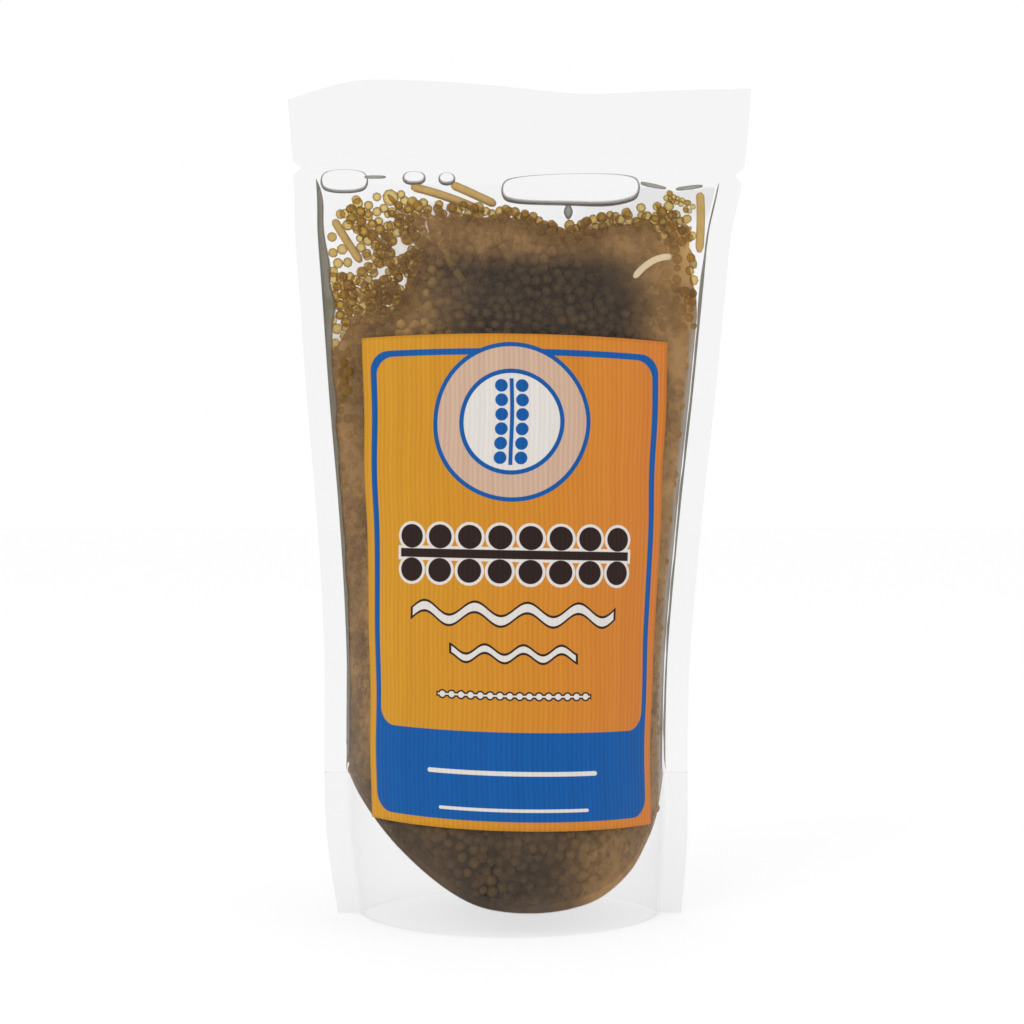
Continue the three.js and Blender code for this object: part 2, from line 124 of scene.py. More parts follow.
LARGE_BEADS = ((-33.3, 186.2, 2.3), (31.7, 183.6, 1.35), (35.9, 183.9, 1.35))  # across, height, radius
TIP_ROUTE = ((38.4, 187.2), (45, 183.2))  # of a frond's young end, with beads of TIP_BEAD in radius
TIP_BEAD = 0.8
TIP_BEADS = 16
BEAD_STEP = 4  # between beads while they are still in a row
BEAD_LAYERS = (("outer", 2.15, 52000), ("filling", 2.2, 52000), ("inner", 2.5, 24000))  # apart, tries
BEAD_SPAN = (8, 189)  # lowest and highest place tried for a bead
FILLING_LOW = 150  # where the second half of the tries for the filling starts
SEAM_LEAST = (2.6, 1.2, 168)  # from a seam to a bead: at the right up to a height, elsewhere, the height
CELL = 2.5  # size of the cells that beads are sorted into, over the distance between beads

# Light: the lamps' places in metres, sizes and powers
WORLD_LIGHT = 0.72
LAMPS = (("key", (-0.7, -0.9, 0.9), 0.6, 4), ("side", (0.9, -0.3, 0.5), 0.4, 1))
LAMPS_AIM = (0, 0, 0.1)
FLOOR_GLOW = 0.7

# The camera: millimetres of lens and film, metres and degrees
LENS = 77.3
SENSOR = 36
CAMERA_PLACE = (-0.0018, -0.572, 0.115)
CAMERA_DOWN = 1.04

# Loose fronds and runners, as in the CAD part: bare share of the stem, and the route
STRANDS = {
    "frond_top_left": (0.05, ((-44, 184, 0), (-39, 178, -0.1), (-33, 172, 0))),
    "frond_upper_left": (0.3, ((-34, 187, 0), (-29.5, 182, 0), (-25, 177.5, 0))),
    "frond_left_edge": (0.1, ((-46, 167, 0), (-45.2, 160, -0.2), (-43, 153.5, 0))),
    "frond_left_inner": (0.1, ((-37.5, 165, -0.1), (-36, 159, 0), (-38, 153, 0))),
    "frond_left_low": (0.1, ((-44.2, 147, 0), (-43.6, 140, -0.3), (-44, 133.5, 0))),
    "frond_top_right": (0.2, ((35.5, 184.5, 0), (39.6, 179.5, 0), (42.8, 173.5, 0))),
    "frond_right_edge": (0.1, ((43, 163, 0), (42.4, 157, 0), (43, 151, 0))),
    "runner_left": (1, ((-48, 180.5, 0), (-45, 175.5, 0), (-41, 169.5, -0.1))),
    "runner_top": (1, ((-28, 189, 0), (-19, 186.5, 0), (-9, 182.5, 0))),
    "runner_short": (1, ((-17.5, 189.6, 0), (-12, 187.2, 0), (-6, 184.4, 0))),
    "runner_right": (1, ((46.9, 187.5, 0), (47.2, 181, 0), (46.8, 172, 0))),
}

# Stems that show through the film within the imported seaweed, level with the outer beads
SHALLOW_STEMS = (
    (FRONT, (-21, 176.5), (-17, 168), (-12.5, 161)),
    (FRONT, (37.8, 179), (42.5, 174), (45.8, 168)),
    (FRONT, (-28.6, 185.8), (-27, 184.4), (-25.2, 182.8)),
    (BACK, (12, 176), (16, 167), (24, 161)),
    (BACK, (-30, 140), (-24, 128), (-23, 116)),
    (BACK, (8, 96), (18, 88), (24, 74)),
    (BACK, (-6, 66), (-14, 56), (-16, 44)),
)

# A stem at the upper right, its pale cream colour a painted highlight
PALE_STEM = ((29.6, 165), (34.4, 169.4), (39.4, 170.6))
PALE_STEM_RADIUS = 0.9
PALE_STEM_FLAT = 0.22
PALE_STEM_DEPTH = 0.36  # from the film to its middle
SHALLOW_DEPTH = 2.7

# Air bubbles under the top seal: across, height, half length, half height, rim above and below,
# squareness, and how much the right end is higher. One with a rim wider than itself is solid grey
BUBBLES = (
    (-45.3, 190.4, 6.2, 3.1, 0.4, 0.9, 1.25, 0),
    (-37.3, 191.5, 2.8, 0.45, 0.65, 0.65, 1, 0),
    (-27.2, 191.2, 3, 1.8, 0.4, 1, 1, 0),
    (-18.7, 191, 2.2, 1.7, 0.4, 1, 1, 0),
    (13.4, 188.4, 18, 4.1, 0.45, 1.0, 1.2, 0.35),
    (12.8, 182.6, 1.2, 1.9, 2.2, 2.2, 1, 0),
    (34.9, 189.4, 3.3, 0.45, 0.65, 0.65, 1, -0.7),
    (44.2, 188.8, 3.5, 0.55, 0.8, 0.8, 1, 0.4),
)
BUBBLE_DIP = (24, 9, 0.85)  # where the long bubble sags: across, how wide, how much
WATER_LINE = ((-50, 189.5), (-37, 190), (0, 190), (31, 190.4), (38, 188.6), (41, 188.2), (48, 189.2))

# Widths of the grey edges of the brine, painted shade for the light the thin brine bends away, by height
EDGE_LEFT = ((37.5, 0.9), (110, 1.2), (130, 1.7), (152, 2.6), (162, 3.1), (178, 2.3), (186, 1.6), (191, 0.6))
EDGE_RIGHT = ((37.5, 0.5), (150, 0.7), (165, 0.9), (178, 0.5), (190, 0.4))


def through(points):
    """A smooth curve through pairs of position and value, level beyond its ends."""
    at = np.array([p[0] for p in points], float)
    value = np.array([p[1] for p in points], float)
    last = len(points) - 1
    before = np.maximum(np.arange(last + 1) - 1, 0)
    after = np.minimum(np.arange(last + 1) + 1, last)
    slope = (value[after] - value[before]) / (at[after] - at[before])

    def curve(t):
        t = np.clip(t, at[0], at[-1])
        k = np.clip(np.searchsorted(at, t, side="right") - 1, 0, last - 1)
        span = at[k + 1] - at[k]
        s = (t - at[k]) / span
        start = value[k] * (1 + 2 * s) + slope[k] * span * s
        end = value[k + 1] * (3 - 2 * s) + slope[k + 1] * span * (s - 1)
        return start * (1 - s) ** 2 + end * s * s

    return curve


half_width = through(HALF_WIDTH)
lean = through(LEAN)
bulge = through(BULGE)
seal_height = through(SEAL_CURVE)
top_edge = through(TOP_EDGE)
fill_top = through(FILL_TOP)
water_line = through(WATER_LINE)


def mix(a, b, share):
    return a + (b - a) * share


def ease(t, start, end):
    s = np.clip((t - start) / (end - start), 0, 1)
    return s * s * (3 - 2 * s)


def inner_half(z):
    """Half the width between the side seals."""
    return half_width(z) - SIDE_SEAL


def belly(x, z):
    """How far a panel stands out from the middle plane, x from the middle line."""
    depth = np.maximum(bulge(z), 1e-6)
    half = inner_half(z)
    radius = (half * half + depth * depth) / (2 * depth)
    away = np.abs(x)
    within = np.minimum(away, half)
    arc = np.sqrt(radius * radius - within * within) - (radius - depth)
    arc = np.where(away < half, arc, -(away - half) * half / (radius - depth))
    rounding = np.minimum(1, depth / 4)
    return (arc + np.hypot(arc, rounding)) / 2


def ply_room(z):
    """The space that the gusset's plies need on each side of the middle plane."""
    return mix(SKIRT_ROOM, PLY_GAP / 2, ease(z, GUSSET_RISE + FOLD_EASE[0], GUSSET_RISE + FOLD_EASE[1]))


def sway(x, z):
    """The wave of the flat top band, to the front and back."""
    turned = 2 * math.pi * x / TOP_SWAY_LENGTH + TOP_SWAY_START
    return TOP_SWAY * ease(z, SEAL_LINE - 10, HEIGHT) * np.sin(turned)


def face_y(side, x, z):
    """The inner face of a panel."""
    return sway(x, z) + side * (belly(x - lean(z), z) + ply_room(z))


def face_points(side, x, z, out):
    """Points on a panel, moved out of the pouch by a distance, level with their height."""
    step = 0.05
    tilt = (face_y(side, x + step, z) - face_y(side, x - step, z)) / (2 * step)
    length = np.hypot(tilt, 1)
    y = face_y(side, x, z) + side * out / length
    return np.stack([x - side * tilt * out / length, y, z + 0 * x], axis=-1)


def half_depth(x, z):
    """Half the room inside the film."""
    return belly(x - lean(z), z) + ply_room(z)


def lean_out(x, z):
    """How much longer a way through the film is along Y than straight across it."""
    step = 0.1
    return np.hypot((half_depth(x + step, z) - half_depth(x - step, z)) / (2 * step), 1)


def column_x(column, z):
    """Across the pouch at a height, for a share of the half width, over 1 in the side seal."""
    beyond = np.maximum(np.abs(column) - 1, 0)
    within = np.minimum(np.abs(column), 1)
    return lean(z) + np.sign(column) * (within * inner_half(z) + beyond * SIDE_SEAL)


def column_of(share):
    """Even shares from -1 to 1 to columns, closer together beside the seals."""
    away = np.abs(share)
    inside = np.sin(math.pi / 2 * np.minimum(away / SEAM_SHARE, 1))
    return np.sign(share) * (inside + np.maximum(away - SEAM_SHARE, 0) / (1 - SEAM_SHARE))


def ripple(x, z, seed):
    """A slow unevenness between -1 and 1."""
    a = np.sin(x / 6.1 + 1.7 * seed + 1.3 * np.sin(z / 9.7 + seed))
    b = np.sin(z / 7.3 + 2.9 * seed + 1.1 * np.sin(x / 8.3 - seed))
    return (a + b) / 2


# Making pieces


def mapped_grid(across, up, place):
    """A grid whose corners move to where place puts their shares across and up."""
    bm = bmesh.new()
    bm.loops.layers.uv.new("UVMap")
    bmesh.ops.create_grid(bm, x_segments=across, y_segments=up, size=0.5, calc_uvs=True)
    shares = np.array([v.co[:2] for v in bm.verts]) + 0.5
    for vert, point in zip(bm.verts, place(shares[:, 0], shares[:, 1])):
        vert.co = point
    return bm


def piece(name, bm, material, nodes=(), thickness=0):
    """Ends a bmesh in millimetres as a piece of the part."""
    bmesh.ops.scale(bm, vec=(MM, MM, MM), verts=bm.verts)
    mesh = bpy.data.meshes.new(name)
    bm.to_mesh(mesh)
    bm.free()
    return piece_of(name, mesh, material, nodes, thickness)


def piece_of(name, mesh, material, nodes=(), thickness=0):
    mesh.materials.append(material)
    mesh.polygons.foreach_set("use_smooth", [True] * len(mesh.polygons))
    obj = bpy.data.objects.new(name, mesh)
    bpy.context.scene.collection.objects.link(obj)
    if thickness:
        wall = obj.modifiers.new("thickness", "SOLIDIFY")
        wall.thickness = thickness * MM
        wall.offset = 0
    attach(obj, "root")
    if nodes:
        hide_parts(*nodes)
    return obj


def bead_row(fine, count):
    """A row of beads of radius 1, one every BEAD_STEP along X."""
    bm = bmesh.new()
    if fine:
        bmesh.ops.create_uvsphere(bm, u_segments=8, v_segments=6, radius=1)
    else:
        bmesh.ops.create_icosphere(bm, subdivisions=1, radius=1)
    made = 1
    while made < count:
        take = min(made, count - made)
        chosen = {vert for vert in bm.verts if vert.co.x < (take - 0.5) * BEAD_STEP}
        edges = [edge for edge in bm.edges if chosen.issuperset(edge.verts)]
        faces = [face for face in bm.faces if chosen.issuperset(face.verts)]
        added = bmesh.ops.duplicate(bm, geom=[*chosen, *edges, *faces])["geom"]
        moved = [part for part in added if isinstance(part, bmesh.types.BMVert)]
        bmesh.ops.translate(bm, vec=(made * BEAD_STEP, 0, 0), verts=moved)
        made += take
    return bm


def bead_piece(name, beads, material, fine=True, nodes=()):
    """Many beads as one mesh. A bead is its place, radius, tone from 0 to 1 and flatness along Y."""
    draw = random.Random(len(beads))
    bm = bead_row(fine, len(beads))
    mesh = bpy.data.meshes.new(name)
    bm.to_mesh(mesh)
    bm.free()
    co = np.zeros(len(mesh.vertices) * 3)
    mesh.vertices.foreach_get("co", co)
    co = co.reshape(-1, 3)
    number = np.rint(co[:, 0] / BEAD_STEP).astype(int)
    co[:, 0] -= number * BEAD_STEP
    turned = np.array([turn(draw) for _ in beads])[number]
    places = np.array([bead[0] for bead in beads])[number]
    radii = np.array([bead[1] for bead in beads])[number]
    tones = np.array([bead[2] for bead in beads], np.float32)[number]
    co = np.einsum("nij,nj->ni", turned, co) * radii[:, None]
    co[:, 1] *= np.array([bead[3] for bead in beads])[number]
    co = (co + places) * MM
    mesh.vertices.foreach_set("co", co.ravel())
    tone = mesh.attributes.new("tone", "FLOAT", "POINT")
    tone.data.foreach_set("value", tones)
    mesh.update()
    return piece_of(name, mesh, material, nodes)


def turn(draw):
    """A random turn, slightly out of round, as a matrix."""
    angles = [draw.uniform(0, 2 * math.pi) for _ in range(3)]
    spin = Matrix.Rotation(angles[0], 3, "X") @ Matrix.Rotation(angles[1], 3, "Z")
    squeeze = Matrix.Diagonal([draw.uniform(0.92, 1.08) for _ in range(3)])
    return np.array(Matrix.Rotation(angles[2], 3, "Y") @ squeeze @ spin)


def tube(path, radius, flat=1, sides=10, steps=24):
    """A stem with rounded ends along a path, a function from 0 to 1, pressed flat along Y."""
    bm = bmesh.new()
    raised = Matrix.Translation((0, 0, 0.5))
    bmesh.ops.create_cone(bm, cap_ends=True, segments=sides, radius1=1, radius2=1, depth=1, matrix=raised)
    long_edges = [e for e in bm.edges if abs(e.verts[0].co.z - e.verts[1].co.z) > 0.5]
    bmesh.ops.subdivide_edges(bm, edges=long_edges, cuts=steps - 1)
    for vert in bm.verts:
        share = vert.co.z
        along = (path(min(share + 0.01, 1)) - path(max(share - 0.01, 0))).normalized()
        side = Vector((0, 1, 0)).cross(along).normalized()
        swell = min(0.45 + 0.35 * steps * min(share, 1 - share), 1)
        outward = side * vert.co.x + along.cross(side) * vert.co.y * flat
        vert.co = path(share) + outward * radius * swell
    return bm


def route_of(points):
    """The smooth curve of a strand, as a function from 0 to 1."""
    route = []
    for x, z, share in points:
        route.append(Vector((x, float(sway(x, z) + share * half_depth(x, z)), z)))
    first, middle, last = route
    bend = 2 * middle - (first + last) / 2
    return lambda t: first * (1 - t) ** 2 + bend * 2 * t * (1 - t) + last * t * t


# Placing beads


class Crowd:
    """Beads placed one by one, none nearer to another than a given distance."""

    def __init__(self):
        self.cells = {}
        self.beads = []

    def key(self, place):
        return tuple(math.floor(c / CELL) for c in place)

    def free(self, place, apart):
        a, b, c = self.key(place)
        for i in (a - 1, a, a + 1):
            for j in (b - 1, b, b + 1):
                for k in (c - 1, c, c + 1):
                    for other in self.cells.get((i, j, k), ()):
                        if math.dist(place, other) < apart:
                            return False
        return True

    def keep_off(self, place):
        self.cells.setdefault(self.key(place), []).append(place)

    def add(self, place, radius, tone, flat):
        self.keep_off(place)
        self.beads.append((place, radius, tone, flat))


def painted_shade_share(x, z):
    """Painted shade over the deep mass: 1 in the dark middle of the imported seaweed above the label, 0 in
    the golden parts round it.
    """
    left = ease(x + 0.35 * (z - 160), -30, -12)
    right = 1 - ease(x, 25, 38)
    return left * right * ease(175 - z, 0, 9)


def loose_share(x, z):
    """1 at the upper left, where the fronds lie loosely in clear brine."""
    return ease(z, 148, 160) * ease(-x, 19, 30)


def low_share(x, z):
    """1 in the dark foot of the mass, less so at the right."""
    return ease(60 - z, 0, 40) * (1 - 0.7 * ease(x, 5, 25))


def depth_tone(x, z, draw):
    """Painted shade: darker where the pouch is thick and less light comes through, darkest in the dark
    middle, also darker at the foot, with a shade of its own for each bead.
    """
    thick = float(ease(half_depth(x, z), 1.2, 9) * (1 - 0.85 * loose_share(x, z)))
    shade = 0.94 - 0.4 * thick - 0.34 * float(painted_shade_share(x, z)) * thick - 0.2 * float(low_share(x, z))
    cloud = 0.12 * float(ripple(1.7 * x, 1.7 * z, 3))
    return min(max(shade + cloud + draw.uniform(-0.08, 0.08), 0), 1)


def under_label(side, x, z):
    """True for what the label hides."""
    behind = side == FRONT and LABEL_BOTTOM + 4 < z < LABEL_TOP - 4
    return behind and abs(x - lean(z)) < 0.68 * inner_half(z)


def gap_in_brine(x, z):
    """True where the beads leave the brine free, mostly at the upper left."""
    loose = loose_share(x, z)
    hole = ripple(5.3 * x, 4.7 * z, 5)
    return loose > 0.2 and hole > 1 - 0.52 * loose


def fill_pouch():
    """The beads that show through the film: all through where the pouch is thin, else in two layers."""
    draw = random.Random(7)
    crowd = Crowd()
    for bare, points in STRANDS.values():
        path = route_of(points)
        for k in range(20):
            crowd.keep_off(tuple(path(k / 19)))
    special_beads(crowd, draw)
    layers = {"special": crowd.beads}
    for layer, apart, tries in BEAD_LAYERS:
        crowd.beads = layers[layer] = []
        scatter(crowd, layer, apart, tries, draw)
    return layers


def special_beads(crowd, draw):
    """The large beads, and the small ones of the young end."""
    for x, z, radius in LARGE_BEADS:
        add_special(crowd, x, z, radius)
    (x0, z0), (x1, z1) = TIP_ROUTE
    for k in range(TIP_BEADS):
        share = k / (TIP_BEADS - 1)
        x = mix(x0, x1, share) + draw.uniform(-0.5, 0.5)
        z = mix(z0, z1, share) + (TIP_BEAD if k % 2 else -TIP_BEAD) + draw.uniform(-0.4, 0.4)
        add_special(crowd, x, z, TIP_BEAD)


def add_special(crowd, x, z, radius):
    """A pale bead that stands out, in the middle of the pouch."""
    flat = min((half_depth(x, z) - BEAD_COVER) / radius, 1)
    crowd.add((x, float(sway(x, z)), z), radius, 1, max(flat, 0.2))


def tried_places(layer, tries, draw):
    """Shares of the half width and heights, half of the filling's beside the seals and half high up."""
    low, high = BEAD_SPAN
    shares = np.array([draw.uniform(-0.985, 0.985) for _ in range(tries)])
    z = np.array([draw.uniform(low, high) for _ in range(tries)])
    if layer == "filling":
        beside = np.arange(tries) % 2 == 0
        shares = np.where(beside, np.copysign(1 - 0.4 * (1 - np.abs(shares)), shares), shares)
        z = np.where(beside, z, FILLING_LOW + (z - low) * (high - FILLING_LOW) / (high - low))
    return shares, z


def inside_mass(shares, x, z, fits):
    """Which places are above the gusset, below the top of the mass and off the seams."""
    steep = (seal_height(shares + 0.01) - seal_height(shares - 0.01)) / (0.02 * inner_half(z))
    low = seal_height(shares) + 1.35 * np.hypot(1, steep)
    top = fill_top(x) - 1.3
    from_seam = (1 - np.abs(shares)) * inner_half(z)
    at_right, elsewhere, height = SEAM_LEAST
    least = np.where((shares > 0) & (z < height), at_right, elsewhere)
    return (z > low) & (z < top) & (fits > 0.4) & (from_seam > least)


def scatter(crowd, layer, apart, tries, draw):
    """Adds one layer of beads: outer and inner ones follow the film, filling ones lie anywhere between."""
    shares, z = tried_places(layer, tries, draw)
    x = column_x(shares, z)
    room = half_depth(x, z)
    slope = lean_out(x, z)
    fits = room / slope - BEAD_COVER
    middle = sway(x, z)
    loose = loose_share(x, z)
    for k in np.flatnonzero(inside_mass(shares, x, z, fits)):
        radius = draw.uniform(*BEAD_RADII)
        flat = min(fits[k] / radius, 1)
        side = FRONT if draw.random() < 0.5 else BACK
        furthest = room[k] - (radius * flat + BEAD_COVER) * slope[k]
        if layer == "filling":
            if room[k] > CLEAR_DEPTH or draw.random() < 0.2 * loose[k]:
                continue
            reach = furthest * draw.random()
        elif layer == "outer":
            reach = furthest - draw.uniform(0, 0.6)
        elif loose[k] < 0.3:
            reach = furthest - draw.uniform(1.8, 3.4)
        else:
            continue
        if under_label(side, x[k], z[k]):
            continue
        place = (float(x[k]), float(middle[k] + side * max(reach, 0)), float(z[k]))
        if not gap_in_brine(place[0], place[2]) and crowd.free(place, apart):
            crowd.add(place, radius, depth_tone(place[0], place[2], draw), float(flat))


def frond_beads(name, draw):
    """The beads of one loose frond, all round its stem."""
    bare, points = STRANDS[name]
    path = route_of(points)
    length = sum((path((k + 1) / 20) - path(k / 20)).length for k in range(20))
    beads = []
    rings = int(length * (1 - bare) / RING_STEP)
    for ring in range(rings + 1):
        share = min(bare + ring * RING_STEP / length, 1)
        middle = path(share)
        along = (path(min(share + 0.02, 1)) - path(max(share - 0.02, 0))).normalized()
        side = Vector((0, 1, 0)).cross(along).normalized()
        deep = along.cross(side)
        room = float(half_depth(middle.x, middle.z)) - 1.6
        flat = min(max(room / BEAD_REACH, 0.15), 1)
        for k in range(4):
            angle = 2 * math.pi * (k + 0.5 * (ring % 2)) / 4 + draw.uniform(-0.2, 0.2)
            place = middle + side * BEAD_REACH * math.cos(angle) + deep * BEAD_REACH * flat * math.sin(angle)
            radius = draw.uniform(*BEAD_RADII)
            pressed = min(max((float(half_depth(place.x, place.z)) - BEAD_COVER) / radius, 0.3), 1)
            beads.append((tuple(place), radius, depth_tone(place.x, place.z, draw), pressed))
    return beads


# Materials


def srgb(red, green, blue):
    """A linear colour from screen values from 0 to 255."""
    values = []
    for value in (red, green, blue):
        v = value / 255
        values.append(v / 12.92 if v <= 0.04045 else ((v + 0.055) / 1.055) ** 2.4)
    return (*values, 1)


def new_material(name):
    made = bpy.data.materials.new(name)
    made.use_nodes = True
    return made, made.node_tree, made.node_tree.nodes["Principled BSDF"]


def fill_sockets(tree, sockets, values):
    """Links or sets sockets, given sockets or plain values."""
    for socket, value in zip(sockets, values):
        if isinstance(value, bpy.types.NodeSocket):
            tree.links.new(value, socket)
        else:
            socket.default_value = value


def calc(tree, operation, *values, clamp=False):
    """A Math node, given sockets or numbers."""
    node = tree.nodes.new("ShaderNodeMath")
    node.operation = operation
    node.use_clamp = clamp
    fill_sockets(tree, node.inputs, values)
    return node.outputs[0]


def blend(tree, share, first, second, way="MIX"):
    """A Mix node for colours, given sockets or colours."""
    node = tree.nodes.new("ShaderNodeMix")
    node.data_type = "RGBA"
    node.blend_type = way
    fill_sockets(tree, (node.inputs[0], node.inputs[6], node.inputs[7]), (share, first, second))
    return node.outputs[2]


def ramp(tree, value, *stops):
    """A ColorRamp node with stops of position and colour."""
    node = tree.nodes.new("ShaderNodeValToRGB")
    for k, (position, colour) in enumerate(stops):
        stop = node.color_ramp.elements[k] if k < 2 else node.color_ramp.elements.new(position)
        stop.position = position
        stop.color = colour
    tree.links.new(value, node.inputs[0])
    return node.outputs[0]


def uv_shares(tree):
    """The two values of the piece's own UV map."""
    split = tree.nodes.new("ShaderNodeSeparateXYZ")
    tree.links.new(tree.nodes.new("ShaderNodeTexCoord").outputs["UV"], split.inputs[0])
    return split.outputs[0], split.outputs[1]


def attribute_value(tree, name):
    node = tree.nodes.new("ShaderNodeAttribute")
    node.attribute_name = name
    return node.outputs["Fac"]


def noise_value(tree, vector, scale, detail, rough):
    """A Noise node's value, given sockets or numbers."""
    node = tree.nodes.new("ShaderNodeTexNoise")
    sockets = [node.inputs[name] for name in ("Vector", "Scale", "Detail", "Roughness")]
    fill_sockets(tree, sockets, (vector, scale, detail, rough))
    return node.outputs["Fac"]


def finish(shader, roughness, specular):
    shader.inputs["Roughness"].default_value = roughness
    shader.inputs["Specular IOR Level"].default_value = specular


def mix_shaders(tree, share, clear, solid):
    """Ends a material that lets light straight through, but for a share of it."""
    mixer = tree.nodes.new("ShaderNodeMixShader")
    fill_sockets(tree, mixer.inputs, (share, clear, solid))
    tree.links.new(mixer.outputs[0], tree.nodes["Material Output"].inputs[0])


def new_group(name, inputs, output, kind="NodeSocketFloat"):
    """An empty node group with numbers going in and one value coming out."""
    group = bpy.data.node_groups.new(name, "ShaderNodeTree")
    for label in inputs:
        group.interface.new_socket(label, in_out="INPUT", socket_type="NodeSocketFloat")
    group.interface.new_socket(output, in_out="OUTPUT", socket_type=kind)
    entry = group.nodes.new("NodeGroupInput")
    leave = group.nodes.new("NodeGroupOutput")
    return group, entry.outputs, leave.inputs[0]


def use_group(tree, group, *values):
    node = tree.nodes.new("ShaderNodeGroup")
    node.node_tree = group
    fill_sockets(tree, node.inputs, values)
    return node.outputs[0]


def patches_group():
    """Uneven patches that stay put on a piece."""
    group, given, out = new_group("Patches", ("Scale", "Detail", "Roughness"), "Share")
    place = group.nodes.new("ShaderNodeTexCoord").outputs["Object"]
    group.links.new(noise_value(group, place, *given[:3]), out)
    return group


def bead_tint_group():
    """From dark brown to pale gold by each bead's tone, which holds painted shade from the pouch's depth and
    a random shade of the bead's own.
    """
    group, given, out = new_group("Bead tint", ("Tone",), "Colour", "NodeSocketColor")
    tint = ramp(
        group,
        given[0],
        (0.0, srgb(74, 60, 46)),
        (0.3, srgb(124, 98, 62)),
        (0.62, srgb(184, 148, 80)),
        (1.0, srgb(214, 178, 98)),
    )
    group.links.new(tint, out)
    return group


def rounded_box_group():
    """Distance from the edge of a box with round corners, below 0 inside it."""
    names = ("Across", "Up", "Middle across", "Middle up", "Half width", "Half height", "Corner")
    group, given, out = new_group("Rounded box", names, "Distance")
    across, up, mid_x, mid_y, half_x, half_y, corner = given[:7]
    sides = []
    for value, middle, half in ((across, mid_x, half_x), (up, mid_y, half_y)):
        away = calc(group, "ABSOLUTE", calc(group, "SUBTRACT", value, middle))
        sides.append(calc(group, "ADD", calc(group, "SUBTRACT", away, half), corner))
    outside = [calc(group, "POWER", calc(group, "MAXIMUM", side, 0.0), 2.0) for side in sides]
    round_part = calc(group, "SQRT", calc(group, "ADD", *outside))
    flat_part = calc(group, "MINIMUM", calc(group, "MAXIMUM", *sides), 0.0)
    group.links.new(calc(group, "SUBTRACT", calc(group, "ADD", round_part, flat_part), corner), out)
    return group


def sprig_group():
    """Distance from a sprig: a straight stem with a bead on either side at every step."""
    names = ("Along", "Aside", "Step", "Reach", "Bead", "Stem", "Half length")
    group, given, out = new_group("Sprig", names, "Distance")
    along, aside, step, reach, bead, stem, half = given[:7]
    part = calc(group, "FRACT", calc(group, "DIVIDE", along, step))
    near = calc(group, "MULTIPLY", calc(group, "SUBTRACT", part, 0.5), step)
    beside = calc(group, "SUBTRACT", calc(group, "ABSOLUTE", aside), reach)
    squares = [calc(group, "POWER", calc(group, "ABSOLUTE", side), 2.0) for side in (near, beside)]
    beads = calc(group, "SUBTRACT", calc(group, "SQRT", calc(group, "ADD", *squares)), bead)
    line = calc(group, "SUBTRACT", calc(group, "ABSOLUTE", aside), stem)
    ends = calc(group, "SUBTRACT", calc(group, "ABSOLUTE", along), half)
    whole = calc(group, "MAXIMUM", calc(group, "MINIMUM", beads, line), ends)
    group.links.new(whole, out)
    return group


def wave_group():
    """Distance from a wavy line."""
    names = ("Across", "Up", "Height", "Rise", "Length", "Half thickness", "Half width")
    group, given, out = new_group("Wavy line", names, "Distance")
    across, up, height, rise, length, thick, wide = given[:7]
    turn_by = calc(group, "DIVIDE", calc(group, "MULTIPLY", across, 2 * math.pi), length)
    crest = calc(group, "MULTIPLY", calc(group, "SINE", turn_by), rise)
    away = calc(group, "ABSOLUTE", calc(group, "SUBTRACT", calc(group, "SUBTRACT", up, height), crest))
    ends = calc(group, "SUBTRACT", calc(group, "ABSOLUTE", across), wide)
    group.links.new(calc(group, "MAXIMUM", calc(group, "SUBTRACT", away, thick), ends), out)
    return group


def inked(tree, distance, grow=0.0):
    """Share of ink from a distance: 1 inside an edge moved out by grow."""
    scaled = calc(tree, "DIVIDE", calc(tree, "SUBTRACT", grow, distance), INK_EDGE)
    return calc(tree, "ADD", scaled, 0.5, clamp=True)


# The label's inks


BLUE = srgb(10, 86, 158)
CREAM = srgb(203, 170, 146)
BROWN = srgb(42, 27, 23)
PALE = srgb(222, 216, 210)


def printed_frame(tree, colour, box, across, up):
    """The blue frame, wide at its foot."""
    outside = use_group(tree, box, across, up, *FRAME_OUTSIDE)
    inside = use_group(tree, box, across, up, *FRAME_INSIDE)
    ink = calc(tree, "MULTIPLY", inked(tree, outside), inked(tree, calc(tree, "MULTIPLY", inside, -1.0)))
    return blend(tree, ink, colour, BLUE)


def printed_disc(tree, colour, box, sprig, across, up):
    """Two discs with blue edges, the inner one with a sprig."""
    across = calc(tree, "SUBTRACT", across, DISC_MIDDLE[0])
    up = calc(tree, "SUBTRACT", up, DISC_MIDDLE[1])
    for radius, ground in zip(DISC_RADII, (CREAM, PALE)):
        disc = use_group(tree, box, across, up, 0, 0, radius, radius, radius)
        colour = blend(tree, inked(tree, disc), colour, BLUE)
        colour = blend(tree, inked(tree, disc, -DISC_LINE), colour, ground)
    motif = use_group(tree, sprig, up, across, *DISC_SPRIG)
    return blend(tree, inked(tree, motif), colour, BLUE)


def edged(tree, colour, shape, ink, edge, edge_width):
    """A printed shape with an edge of another colour round it."""
    colour = blend(tree, inked(tree, shape, edge_width), colour, edge)
    return blend(tree, inked(tree, shape), colour, ink)


def printed_lines(tree, colour, box, sprig, across, up):
    """A beaded row, wavy lines, a dotted row and two rules."""
    wave = wave_group()
    title = use_group(tree, sprig, across, calc(tree, "SUBTRACT", up, TITLE_UP), *TITLE_SPRIG)
    colour = edged(tree, colour, title, BROWN, PALE, 0.7)
    for sizes in WAVES:
        line = use_group(tree, wave, across, up, *sizes)
        colour = edged(tree, colour, line, PALE, BROWN, 0.6)
    dots = use_group(tree, sprig, across, calc(tree, "SUBTRACT", up, DOTS_UP), *DOTS_SPRIG)
    colour = edged(tree, colour, dots, PALE, BROWN, 0.4)
    for height, thick, wide in RULES:
        rule = use_group(tree, box, across, up, FRAME_OUTSIDE[0], height, wide, thick, thick)
        colour = blend(tree, inked(tree, rule), colour, PALE)
    return colour


